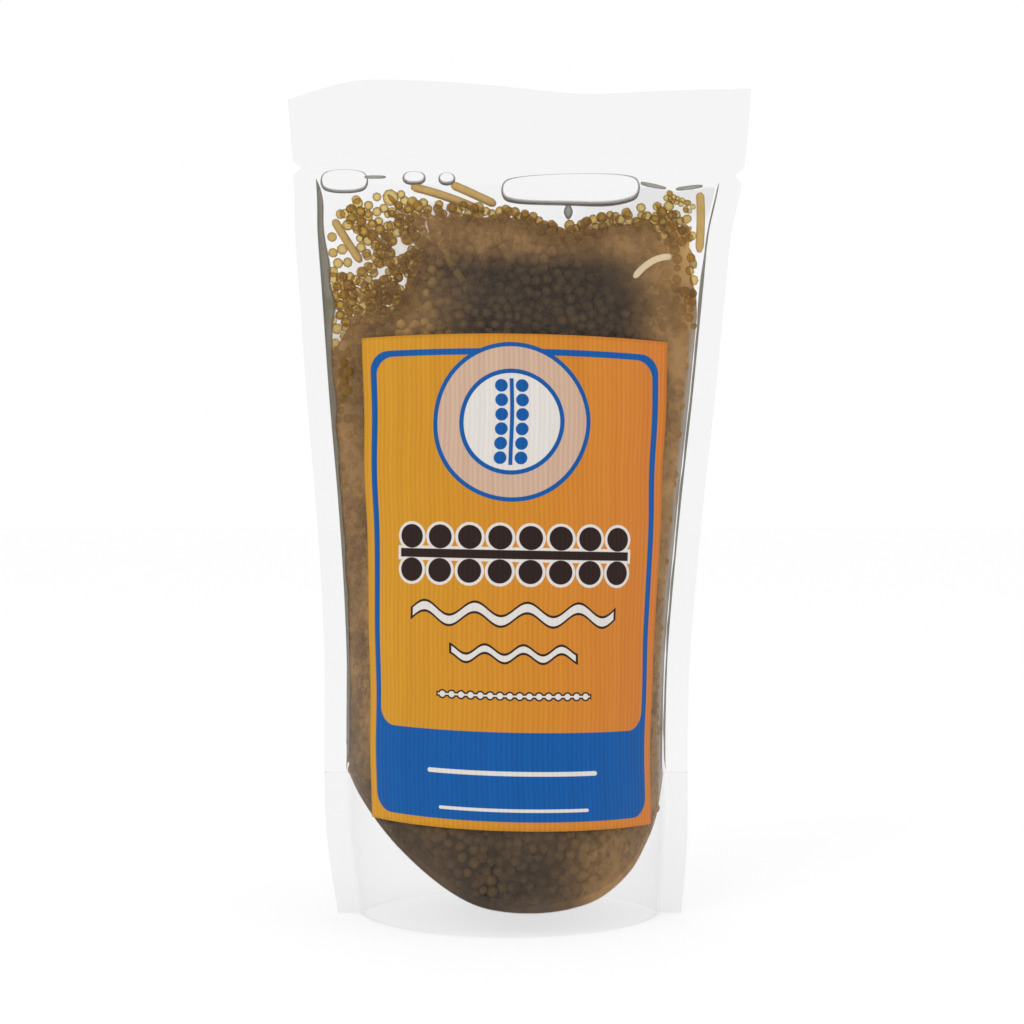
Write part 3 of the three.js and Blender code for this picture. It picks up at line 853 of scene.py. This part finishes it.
def ribbed(tree, colour, ribs, across, up):
    """Lighter and darker upright stripes along the ribs, and slow streaks, laid over the print."""
    stretched = tree.nodes.new("ShaderNodeCombineXYZ")
    fill_sockets(tree, stretched.inputs, (across, calc(tree, "MULTIPLY", up, 0.03)))
    streaks = noise_value(tree, stretched.outputs[0], 0.45, 3, 0.5)
    shade = calc(tree, "MULTIPLY_ADD", ribs, 0.035, calc(tree, "MULTIPLY_ADD", streaks, 0.16, -0.08))
    grey = tree.nodes.new("ShaderNodeCombineColor")
    fill_sockets(tree, grey.inputs, [calc(tree, "ADD", shade, 0.5, clamp=True)] * 3)
    return blend(tree, 1.0, colour, grey.outputs[0], "OVERLAY")


def label_material():
    """Printed paper: an orange ground in a blue frame, a disc with a sprig, and plain ornaments."""
    made, tree, shader = new_material("label_print")
    box, sprig = rounded_box_group(), sprig_group()
    share_across, share_up = uv_shares(tree)
    across = calc(tree, "MULTIPLY", calc(tree, "SUBTRACT", share_across, 0.5), LABEL_WIDTH)
    up = calc(tree, "MULTIPLY", share_up, LABEL_TALL)
    colour = ramp(
        tree,
        share_across,
        (0.0, srgb(206, 146, 40)),
        (0.25, srgb(204, 141, 36)),
        (0.6, srgb(205, 131, 42)),
        (1.0, srgb(205, 121, 50)),
    )
    colour = printed_frame(tree, colour, box, across, up)
    colour = printed_disc(tree, colour, box, sprig, across, up)
    colour = printed_lines(tree, colour, box, sprig, across, up)
    ribs = calc(tree, "SINE", calc(tree, "MULTIPLY", across, 2 * math.pi / RIB_STEP))
    tree.links.new(ribbed(tree, colour, ribs, across, up), shader.inputs["Base Color"])
    finish(shader, 0.5, 0.15)
    bump = tree.nodes.new("ShaderNodeBump")
    bump.inputs["Strength"].default_value = 0.25
    bump.inputs["Distance"].default_value = 0.0002
    tree.links.new(ribs, bump.inputs["Height"])
    tree.links.new(bump.outputs[0], shader.inputs["Normal"])
    return made


def film_material(name, tint, haze):
    """Clear film: it lets nearly all light through and mirrors more towards grazing angles."""
    made, tree, shader = new_material(name)
    shader.inputs["Base Color"].default_value = srgb(246, 247, 248)
    finish(shader, 0.09, 1.0)
    clear = tree.nodes.new("ShaderNodeBsdfTransparent")
    clear.inputs[0].default_value = (tint, tint, tint, 1)
    weight = tree.nodes.new("ShaderNodeLayerWeight")
    weight.inputs["Blend"].default_value = 0.28
    share = calc(tree, "MULTIPLY_ADD", calc(tree, "POWER", weight.outputs["Facing"], 3.0), 0.5, haze)
    mix_shaders(tree, share, clear.outputs[0], shader.outputs[0])
    return made


def packed_bead_material(tint):
    made, tree, shader = new_material("packed_beads")
    tree.links.new(use_group(tree, tint, attribute_value(tree, "tone")), shader.inputs["Base Color"])
    finish(shader, 0.34, 0.2)
    return made


def clear_bead_material(tint):
    """Beads that colour the light that comes through, most of all at their rims."""
    made, tree, shader = new_material("clear_beads")
    tone = attribute_value(tree, "tone")
    tree.links.new(use_group(tree, tint, tone), shader.inputs["Base Color"])
    finish(shader, 0.25, 0.3)
    weight = tree.nodes.new("ShaderNodeLayerWeight")
    weight.inputs["Blend"].default_value = 0.5
    rim = calc(tree, "POWER", weight.outputs["Facing"], 1.4)
    pale = ramp(
        tree,
        tone,
        (0.0, srgb(178, 150, 112)),
        (0.5, srgb(222, 198, 146)),
        (1.0, srgb(242, 230, 186)),
    )
    clear = tree.nodes.new("ShaderNodeBsdfTransparent")
    tree.links.new(blend(tree, rim, pale, srgb(142, 104, 44)), clear.inputs[0])
    solid = calc(tree, "MULTIPLY_ADD", rim, 0.4, calc(tree, "MULTIPLY_ADD", tone, -0.45, 0.5), clamp=True)
    mix_shaders(tree, solid, clear.outputs[0], shader.outputs[0])
    return made


def stem_material(name, patches, middle, rim):
    """A stem that light comes through a little, deeper in colour at its edges."""
    made, tree, shader = new_material(name)
    weight = tree.nodes.new("ShaderNodeLayerWeight")
    weight.inputs["Blend"].default_value = 0.5
    streaks = use_group(tree, patches, 420, 3, 0.5)
    edge = calc(tree, "POWER", weight.outputs["Facing"], 1.6)
    streaked = calc(tree, "MULTIPLY_ADD", streaks, 0.7, -0.3)
    share = calc(tree, "MULTIPLY_ADD", edge, 0.9, streaked, clamp=True)
    tree.links.new(blend(tree, share, middle, rim), shader.inputs["Base Color"])
    tree.links.new(calc(tree, "MULTIPLY_ADD", edge, 0.2, 0.78, clamp=True), shader.inputs["Alpha"])
    finish(shader, 0.3, 0.3)
    return made


def core_material(patches):
    """The inside of the mass: dark brown as painted shade where the mass is deep, golden as painted light
    where the pouch is thin, lighter at the upper right, pale beside a seal.
    """
    made, tree, shader = new_material("core")
    thin, pale, bright = (attribute_value(tree, name) for name in ("thin", "pale", "bright"))
    uneven = use_group(tree, patches, 220, 3, 0.5)
    deep = ramp(tree, uneven, (0.35, srgb(44, 35, 27)), (0.65, srgb(68, 54, 40)))
    golden = ramp(tree, uneven, (0.35, srgb(142, 106, 64)), (0.65, srgb(186, 144, 86)))
    # Golden, and lighter at the upper right: painted light coming through where the mass is thin
    brown = blend(tree, bright, blend(tree, thin, deep, golden), srgb(200, 160, 92))
    tree.links.new(blend(tree, pale, brown, srgb(174, 166, 158)), shader.inputs["Base Color"])
    shader.inputs["Roughness"].default_value = 0.6
    return made


def bubble_material():
    """Air: clear in the middle, with a dark rim of painted shade where light is bent away at its edge."""
    made, tree, shader = new_material("air_bubble")
    rim = attribute_value(tree, "rim")
    colour = ramp(
        tree,
        rim,
        (0.0, srgb(110, 98, 86)),
        (0.3, srgb(84, 70, 58)),
        (0.45, srgb(134, 130, 122)),
        (1.0, srgb(168, 165, 158)),
    )
    tree.links.new(colour, shader.inputs["Base Color"])
    share = calc(tree, "DIVIDE", calc(tree, "SUBTRACT", 1.15, rim), 0.4, clamp=True)
    tree.links.new(calc(tree, "MULTIPLY", share, 0.8), shader.inputs["Alpha"])
    shader.inputs["Roughness"].default_value = 0.3
    return made


def brine_edge_material(patches):
    """Brine seen edgeways beside the seals: grey painted shade for the light it bends away, with darker
    edges.
    """
    made, tree, shader = new_material("brine_edge")
    away = calc(tree, "ABSOLUTE", calc(tree, "MULTIPLY_ADD", uv_shares(tree)[0], 2.0, -1.0))
    colour = ramp(
        tree,
        away,
        (0.0, srgb(74, 70, 58)),
        (0.3, srgb(122, 115, 98)),
        (0.7, srgb(134, 126, 106)),
        (0.95, srgb(90, 84, 70)),
    )
    tree.links.new(colour, shader.inputs["Base Color"])
    fade = calc(tree, "DIVIDE", calc(tree, "SUBTRACT", 1.0, away), 0.12, clamp=True)
    cover = calc(tree, "MULTIPLY_ADD", use_group(tree, patches, 260, 2, 0.5), 0.35, 0.6)
    tree.links.new(calc(tree, "MULTIPLY", fade, cover), shader.inputs["Alpha"])
    finish(shader, 0.3, 0.2)
    return made


def clear_brine_material():
    """Brine free of seaweed: a faint grey."""
    made, tree, shader = new_material("clear_brine")
    shader.inputs["Base Color"].default_value = srgb(178, 176, 180)
    tree.links.new(calc(tree, "MULTIPLY", attribute_value(tree, "brine"), 0.27), shader.inputs["Alpha"])
    finish(shader, 0.5, 0.1)
    return made


def murk_material(patches):
    """Brine clouded by the seaweed, in grainy patches, darker where the mass is: painted shade over the deep
    middle, also darker at the foot.
    """
    made, tree, shader = new_material("murky_brine")
    grain = calc(tree, "MULTIPLY_ADD", use_group(tree, patches, 480, 4, 0.7), 0.5, -0.25)
    uneven = calc(tree, "ADD", use_group(tree, patches, 60, 4, 0.5), grain)
    light = ramp(tree, uneven, (0.35, srgb(138, 104, 66)), (0.7, srgb(196, 152, 98)))
    # The deep colour is painted shade over the thick mass
    deep = ramp(tree, uneven, (0.35, srgb(66, 54, 43)), (0.7, srgb(94, 76, 58)))
    tree.links.new(blend(tree, attribute_value(tree, "dark"), light, deep), shader.inputs["Base Color"])
    thickness = calc(tree, "MULTIPLY_ADD", uneven, 0.4, 0.4)
    cover = calc(tree, "MULTIPLY", attribute_value(tree, "murk"), thickness, clamp=True)
    tree.links.new(cover, shader.inputs["Alpha"])
    finish(shader, 0.5, 0.1)
    return made


# The pouch's pieces


def film_panel(name, side, material):
    def place(across, up):
        column = -side * column_of(2 * across - 1)
        level = up * HEIGHT
        x = column_x(column, level)
        beyond = np.maximum(np.abs(column) - 1, 0)
        for notch_side, notch_height in NOTCHES:
            cut = np.maximum(1 - np.abs(level - notch_height) / NOTCH_HEIGHT, 0)
            x = x - np.where(np.sign(column) == notch_side, notch_side * NOTCH_DEPTH * cut * beyond, 0)
        above = np.clip((level - SEAL_LINE) / (HEIGHT - SEAL_LINE), 0, 1)
        z = level + above * top_edge(x)
        loose = ease(level, 4, 20) * ease(half_depth(x, z), 0.2, 3)
        return face_points(side, x, z, FILM / 2 + FILM_RIPPLE * loose * ripple(x, z, side))

    bm = mapped_grid(100, 214, place)
    piece(name, bm, material, [name.replace("_sheet", "_film")], FILM_THICKNESS)


def gusset_sheet(material):
    def place(across, up):
        column = column_of(2 * across - 1)
        top = seal_height(column) - FILM / 2
        inset = PLY_GAP + FILM / 2
        front_share = np.clip(up / GUSSET_WING, 0, 1)
        back_share = np.clip((1 - up) / GUSSET_WING, 0, 1)
        front = face_points(FRONT, column_x(column, top * front_share), top * front_share, -inset)
        back = face_points(BACK, column_x(column, top * back_share), top * back_share, -inset)
        over = np.clip((up - GUSSET_WING) / (1 - 2 * GUSSET_WING), 0, 1)[:, None]
        return mix(front, back, over)

    bm = mapped_grid(72, 60, place)
    piece("gusset_sheet", bm, material, ["gusset_film"], FILM_THICKNESS)


def along_arc(length, z):
    depth = bulge(z)
    half = inner_half(z)
    radius = (half * half + depth * depth) / (2 * depth)
    return lean(z) + radius * np.sin(length / radius)


def label_sheet():
    def place(across, up):
        arch = LABEL_ARCH * up * up * (1 - 4 * (across - 0.5) ** 2)
        tilt = mix(LABEL_TILT[1], LABEL_TILT[0], up) * (across - 0.5)
        z = mix(LABEL_BOTTOM, LABEL_TOP, up) + arch - tilt
        length = mix(LABEL_SHIFT[1], LABEL_SHIFT[0], up) + (across - 0.5) * LABEL_WIDTH
        length = length + LABEL_RIPPLE * ripple(3 * across, 1.3 * z, 8)
        return face_points(FRONT, along_arc(length, z), z, FILM + LABEL_GAP + LABEL_THICKNESS / 2)

    piece("label_sheet", mapped_grid(60, 90, place), label_material(), ["label"], LABEL_THICKNESS)


def brine_edges(material):
    """The grey bands of painted shade beside the side seals."""
    for name, hand, widths in (("brine_edge_left", -1, EDGE_LEFT), ("brine_edge_right", 1, EDGE_RIGHT)):
        width_at = through(widths)

        def place(across, up, hand=hand, low=widths[0][0], high=widths[-1][0], width_at=width_at):
            z = mix(low, high, up)
            away = np.abs(2 * across - 1)
            ends = ease(high + 1 - z, 0, 3) * ease(z + 0.5 - low, 0, 6)
            wide = width_at(z) * (1 + 0.25 * ripple(2.1 * z, 1.7 * z, 4 + hand)) * ends
            x = lean(z) + hand * (inner_half(z) + 0.2 - wide * away)
            side = np.where(across < 0.5, FRONT, BACK)
            y = sway(x, z) + side * np.maximum(half_depth(x, z) - 0.25, 0.02)
            return np.stack([x, y, z], axis=-1)

        bm = mapped_grid(12, 150, place)
        piece(name, bm, material, ["brine"])


def murk_share(x, z):
    """How cloudy the brine is: clearer beside the right seam, at the top and at the upper left."""
    column = (x - lean(z)) / inner_half(z)
    from_seam = (1 - column) * inner_half(z)
    left = mix(1, 0.55, ease(z, 105, 135))
    beside = mix(left, ease(from_seam, 0.9, 3), ease(column, 0, 0.5))
    by_depth = mix(beside, ease(half_depth(x, z), 0.8, 5), ease(z, 140, 165))
    cloudy = ease(fill_top(x) - z, 1, 10) * by_depth * (1 - 0.75 * loose_share(x, z))
    near_gusset = 1 - ease(z - seal_height(column), 1, 5)
    return max(cloudy, 2 * near_gusset)


def murk(material):
    """Brine clouded by the seaweed, in front of the beads and behind them."""
    for name, side in (("murk_front", FRONT), ("murk_back", BACK)):

        def place(across, up, side=side):
            column = -side * 0.997 * column_of(SEAM_SHARE * (2 * across - 1))
            low = seal_height(column) + 0.3
            high = fill_top(column_x(column, 183)) - 1
            z = mix(low, high, up)
            return face_points(side, column_x(column, z), z, -MURK_COVER)

        bm = mapped_grid(72, 140, place)
        share = bm.verts.layers.float.new("murk")
        # Where the murk takes its deep colour: painted shade over the deep middle, and darker at the foot
        dark = bm.verts.layers.float.new("dark")
        for vert in bm.verts:
            x, y, z = vert.co
            vert[share] = murk_share(x, z)
            vert[dark] = max(painted_shade_share(x, z), low_share(x, z))
        piece(name, bm, material)


def in_bubble(x, z):
    """1 inside an air bubble, 0 outside them all."""
    inside = 0
    for x0, z0, half_length, half_height, *looks in BUBBLES:
        beyond = max(abs(x - x0) - max(half_length - half_height, 0), 0)
        away = math.hypot(beyond, z - z0) / half_height
        inside = max(inside, 1 - ease(away, 0.85, 1.05))
    return inside


def clear_brine(material):
    """Brine without seaweed in it, between the bubbles and the mass."""

    def place(across, up):
        column = -0.985 * column_of(SEAM_SHARE * (2 * across - 1))
        z = mix(fill_top(column_x(column, 185)) - 9, water_line(column_x(column, 189)), up)
        x = column_x(column, z)
        return np.stack([x, sway(x, z), z], axis=-1)

    bm = mapped_grid(240, 40, place)
    share = bm.verts.layers.float.new("brine")
    for vert in bm.verts:
        x, y, z = vert.co
        below_line = ease(water_line(x) - z, 0, 0.8)
        above_mass = ease(z - fill_top(x), -8, -3)
        vert[share] = mix(0.15, 1, ease(x, 0, 36)) * below_line * above_mass * (1 - in_bubble(x, z))
    piece("clear_brine", bm, material)


def bubble(x0, z0, half_length, half_height, rim_above, rim_below, squareness, tilt):
    """A flattened ball of air, drawn out along X, with its painted dark rim as an attribute."""
    bm = bmesh.new()
    rim = bm.verts.layers.float.new("rim")
    facing_front = Matrix.Rotation(math.pi / 2, 4, "X")
    bmesh.ops.create_uvsphere(bm, u_segments=64, v_segments=28, radius=1, matrix=facing_front)
    solid = rim_above > half_height
    for vert in bm.verts:
        a, b, c = vert.co
        from_middle = math.hypot(a, c)
        # Painted shade: the rim is wider and darker towards the bottom, where light from above misses it
        below = 0.5 - 0.5 * c / max(from_middle, 0.01)
        width = mix(rim_above, rim_below, below * below)
        if solid:
            vert[rim] = 0.6 + 0.3 * (1 - from_middle)
        else:
            vert[rim] = (1 - from_middle) * half_height / width + 0.8 * (1 - below) ** 3
        along = math.sin(math.pi / 2 * min(max(squareness * a, -1), 1))
        x = x0 + (half_length - half_height) * along + half_height * a
        sag = BUBBLE_DIP[2] * math.exp(-(((x - BUBBLE_DIP[0]) / BUBBLE_DIP[1]) ** 2))
        z = z0 + half_height * c + tilt * along - sag * max(-c, 0)
        deep = max(half_depth(x, z) - 0.15, 0.12)
        vert.co = (x, sway(x, z) + b * min(deep, half_height * 0.8), z)
    return bm


def bubbles(material):
    for number, sizes in enumerate(BUBBLES, 1):
        piece(f"bubble_{number}", bubble(*sizes), material)


def core(material):
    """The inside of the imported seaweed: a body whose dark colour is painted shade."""
    bm = bmesh.new()
    bmesh.ops.create_cube(bm, size=2)
    bmesh.ops.subdivide_edges(bm, edges=bm.edges[:], cuts=30, use_grid_fill=True)
    thin, pale, bright = (bm.verts.layers.float.new(name) for name in ("thin", "pale", "bright"))
    for vert in bm.verts:
        across, deep, up = vert.co
        share = 0.985 * math.sin(math.pi / 2 * across)
        low = seal_height(share) + 0.9
        at_top = column_x(share, 175)
        drop = 29 * ease(-at_top, 14, 36) + 4 * ease(at_top, 33, 42)
        high = fill_top(at_top) - 4 - drop + 0.8 * ripple(4 * at_top, 0, 2)
        z = mix(low, high, (up + 1) / 2)
        narrower = 0.075 * ease(z, 156, 172) * ease(share, 0.5, 1)
        x = column_x(share * (1 - narrower), z)
        room = half_depth(x, z)
        # Shares of painted light: golden where the pouch is thin, near the top of the mass and at the upper
        # left, lighter at the upper right
        near_top = 1 - ease(fill_top(x) - z, 5, 13)
        vert[thin] = max(1 - ease(room, 1.5, 7.5), near_top, loose_share(x, z))
        vert[pale] = ease(share, 0.94, 0.972) * (1 - ease(z, 145, 160))
        vert[bright] = ease(x, 33, 40) * ease(z, 160, 173)
        cover = CORE_COVER + 1.2 * ripple(2 * x, 2 * z, 9)
        rounding = (1 - across**4) ** 0.5 * (1 - max(up, 0) ** 4) ** 0.5
        half = max((room - min(cover, 0.6 * room)) * rounding, 0.1)
        vert.co = (x, sway(x, z) + deep * half, z)
    piece("packed_core", bm, material, ["packed_fronds"])


def strands(stem, beads):
    """The loose fronds and the bare runners."""
    draw = random.Random(11)
    for name, (bare, points) in STRANDS.items():
        is_runner = bare == 1
        radius = STEM_RADIUS if is_runner else FROND_STEM_RADIUS
        room = half_depth(points[1][0], points[1][1]) - 0.5
        bm = tube(route_of(points), radius, min(max(room / radius, 0.25), 1))
        piece(f"{name}_stem", bm, stem, [name])
        if not is_runner:
            bead_piece(f"{name}_beads", frond_beads(name, draw), beads)


def shallow_stems(stem, pale):
    """Stems just behind the film, and the pale one at the upper right, a stem whose cream colour is a painted
    highlight.
    """
    route = [(x, z, PALE_STEM_DEPTH / half_depth(x, z) - 1) for x, z in PALE_STEM]
    piece("pale_stem_painted_highlight", tube(route_of(route), PALE_STEM_RADIUS, PALE_STEM_FLAT), pale)
    for number, (side, *corners) in enumerate(SHALLOW_STEMS, 1):
        route = [(x, z, side * (1 - SHALLOW_DEPTH / half_depth(x, z))) for x, z in corners]
        piece(f"shallow_stem_{number}", tube(route_of(route), STEM_RADIUS), stem)


def seaweed(packed, clear):
    """All the beads that lie against the film."""
    layers = fill_pouch()

    def thin(bead):
        x, y, z = bead[0]
        return half_depth(x, z) < CLEAR_DEPTH or loose_share(x, z) > 0.4

    outer = [bead for bead in layers["outer"] if not thin(bead)]
    groups = {
        "beads_thin": ([bead for bead in layers["outer"] if thin(bead)], clear, True),
        "beads_front": ([bead for bead in outer if bead[0][1] < 0], packed, True),
        "beads_back": ([bead for bead in outer if bead[0][1] >= 0], packed, True),
        "beads_filling": (layers["filling"] + layers["special"], clear, True),
        "beads_inner": (layers["inner"], packed, False),
    }
    for name, (beads, material, fine) in groups.items():
        bead_piece(name, beads, material, fine)


# Floor, light and camera


def linked(name, data):
    """A new object of the scene."""
    obj = bpy.data.objects.new(name, data)
    bpy.context.scene.collection.objects.link(obj)
    return obj


def studio_floor():
    bm = bmesh.new()
    bmesh.ops.create_grid(bm, x_segments=1, y_segments=1, size=4)
    mesh = bpy.data.meshes.new("floor")
    bm.to_mesh(mesh)
    bm.free()
    white, _, shader = new_material("floor_white")
    shader.inputs["Base Color"].default_value = (0.35, 0.35, 0.35, 1)
    shader.inputs["Roughness"].default_value = 0.9
    shader.inputs["Emission Color"].default_value = (1, 1, 1, 1)
    shader.inputs["Emission Strength"].default_value = FLOOR_GLOW
    mesh.materials.append(white)
    floor = linked("floor", mesh)
    floor.location.z = -0.0002


def studio_light():
    """Even light all round, white behind the pouch, and two lamps."""
    world = bpy.data.worlds.new("studio")
    world.use_nodes = True
    tree = world.node_tree
    path = tree.nodes.new("ShaderNodeLightPath")
    background = tree.nodes["Background"]
    background.inputs[0].default_value = (1, 1, 1, 1)
    strength = calc(tree, "MULTIPLY_ADD", path.outputs["Is Camera Ray"], 1 - WORLD_LIGHT, WORLD_LIGHT)
    tree.links.new(strength, background.inputs[1])
    bpy.context.scene.world = world
    for name, place, size, power in LAMPS:
        lamp = bpy.data.lights.new(name, "AREA")
        lamp.size = size
        lamp.energy = power
        obj = linked(name, lamp)
        obj.location = place
        obj.rotation_euler = (Vector(LAMPS_AIM) - Vector(place)).to_track_quat("-Z", "Y").to_euler()


def camera():
    data = bpy.data.cameras.new("camera")
    data.sensor_width = SENSOR
    data.lens = LENS
    obj = linked("camera", data)
    obj.location = CAMERA_PLACE
    obj.rotation_euler = (math.radians(90 - CAMERA_DOWN), 0, 0)
    bpy.context.scene.camera = obj


def view_settings():
    """Plain colours, and enough bounces for light to pass all the film and beads."""
    scene = bpy.context.scene
    scene.view_settings.view_transform = "Standard"
    scene.cycles.transparent_max_bounces = 40
    scene.cycles.max_bounces = 5
    scene.cycles.diffuse_bounces = 2
    scene.cycles.glossy_bounces = 2


def build():
    film = film_material("clear_film", 0.978, 0.007)
    film_panel("back_sheet", BACK, film)
    film_panel("front_sheet", FRONT, film)
    gusset_sheet(film_material("gusset_film", 0.994, 0.004))
    label_sheet()
    tint, patches = bead_tint_group(), patches_group()
    clear = clear_bead_material(tint)
    stem = stem_material("stem", patches, srgb(212, 172, 86), srgb(154, 114, 38))
    # A stem whose pale cream colour is a painted highlight
    pale_stem_painted_highlight = stem_material("pale_stem_painted_highlight", patches, srgb(250, 226, 186), srgb(214, 158, 108))
    core(core_material(patches))
    seaweed(packed_bead_material(tint), clear)
    strands(stem, clear)
    shallow_stems(stem, pale_stem_painted_highlight)
    brine_edges(brine_edge_material(patches))
    bubbles(bubble_material())
    clear_brine(clear_brine_material())
    murk(murk_material(patches))
    studio_floor()
    studio_light()
    camera()
    view_settings()


build()
